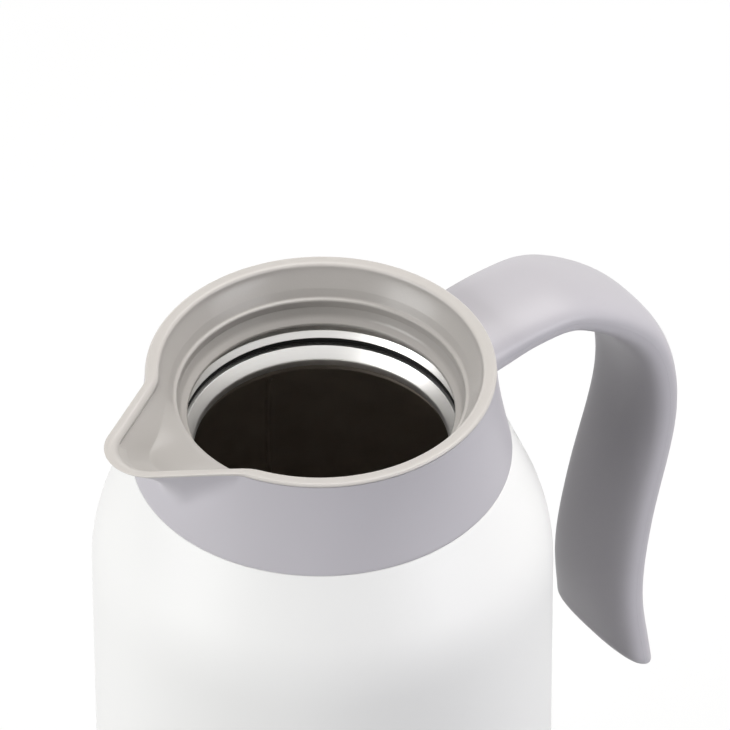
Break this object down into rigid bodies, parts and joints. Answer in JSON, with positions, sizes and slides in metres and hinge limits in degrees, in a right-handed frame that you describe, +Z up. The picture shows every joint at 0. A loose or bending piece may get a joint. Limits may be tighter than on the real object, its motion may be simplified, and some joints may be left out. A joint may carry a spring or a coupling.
{
  "type": "thermal carafe",
  "caption": "Vacuum-insulated steel carafe with a painted body, a plastic collar with a pouring spout and an open-ended handle; the mouth is open.",
  "frame": {"origin": "centre of the non-slip base pad's underside, on the body's axis, at the table", "axes": "+Z up along the body's axis, +X toward the handle, -X toward the spout"},
  "size_m": [0.194, 0.136, 0.24],
  "materials": {
    "white_paint": "gloss",
    "steel": "satin",
    "dark_liner": "satin",
    "foil": "bright",
    "grey_plastic": "satin",
    "warm_plastic": "satin",
    "silicone": "matt"
  },
  "bodies": {
    "root": {"outer_shell": "white_paint", "outer_base": "steel", "inner_liner": "dark_liner", "liner_base": "dark_liner", "neck_ring": "steel", "groove_seal": "silicone", "radiation_foil": "foil", "getter": "steel", "getter_clip": "steel", "vacuum_seal": "steel", "base_cover": "grey_plastic", "base_pad": "silicone", "collar": "grey_plastic", "funnel": "warm_plastic", "mouth_ring": "warm_plastic", "neck_gasket": "silicone", "collar_gasket": "silicone", "handle_shell": "grey_plastic", "handle_cover": "grey_plastic", "handle_screws": "steel"}
  },
  "joints": []
}
